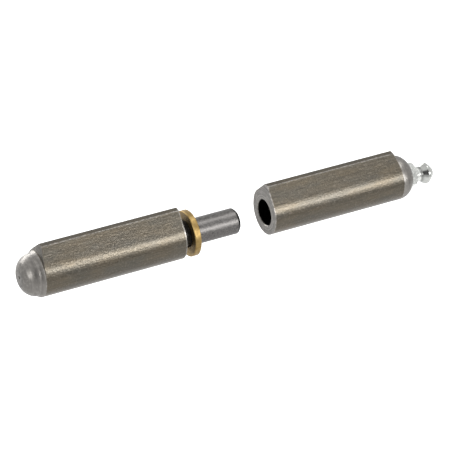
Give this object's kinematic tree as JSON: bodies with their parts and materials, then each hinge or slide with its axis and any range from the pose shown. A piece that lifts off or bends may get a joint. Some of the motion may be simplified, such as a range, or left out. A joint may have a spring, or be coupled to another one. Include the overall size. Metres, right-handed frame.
{
  "type": "weld on barrel hinge",
  "caption": "Two-part weld on lift-off barrel hinge with a drop-shaped steel profile, pressed pin, brass thrust washer and grease nipple.",
  "frame": {"origin": "centre of the pin half's weld edge, the narrow flat that is welded to the frame", "axes": "+X along the hinge axis from the pin half's round nose towards the grease nipple, +Z out of both weld edges, +Y to the side. The hinge axis is 9.85 mm below the origin."},
  "size_m": [0.1408, 0.0142, 0.017],
  "materials": {
    "drawn_steel": "raw drawn steel with a fine matt grain, turned at the nose and faces",
    "ground_steel": "ground bright steel",
    "brass": "turned bare brass",
    "zinc_plated_steel": "bright zinc plated steel",
    "hardened_steel": "polished bearing steel",
    "spring_steel": "drawn spring wire"
  },
  "bodies": {
    "pin_half": {"pin_barrel": "drawn_steel", "hinge_pin": "ground_steel"},
    "washer": {"brass_washer": "brass"},
    "valve_spring": {"ball_spring": "spring_steel"},
    "socket_half": {"socket_barrel": "drawn_steel", "grease_nipple": "zinc_plated_steel"},
    "valve_ball": {"check_ball": "hardened_steel"}
  },
  "joints": [
    {"name": "washer_slide", "type": "slide", "parent": "pin_half", "child": "washer", "axis": [1, 0, 0], "range_m": [-0.00275, 0]},
    {"name": "lift_off", "type": "slide", "parent": "pin_half", "child": "valve_spring", "axis": [1, 0, 0], "range_m": [-0.02765, 0]},
    {"name": "swing", "type": "hinge", "parent": "valve_spring", "child": "socket_half", "pos_m": [0.07435, 0, -0.00985], "axis": [1, 0, 0], "continuous": true},
    {"name": "ball_press", "type": "slide", "parent": "socket_half", "child": "valve_ball", "axis": [-0.9925, 0, 0.1219], "range_m": [0, 0.0008], "stiffness_N_per_m": 400, "springref_m": -0.0008, "deforming": ["ball_spring"]}
  ],
  "couplings": [
    {"joint": "washer_slide", "follows": "lift_off", "ratio": 0.0994}
  ]
}
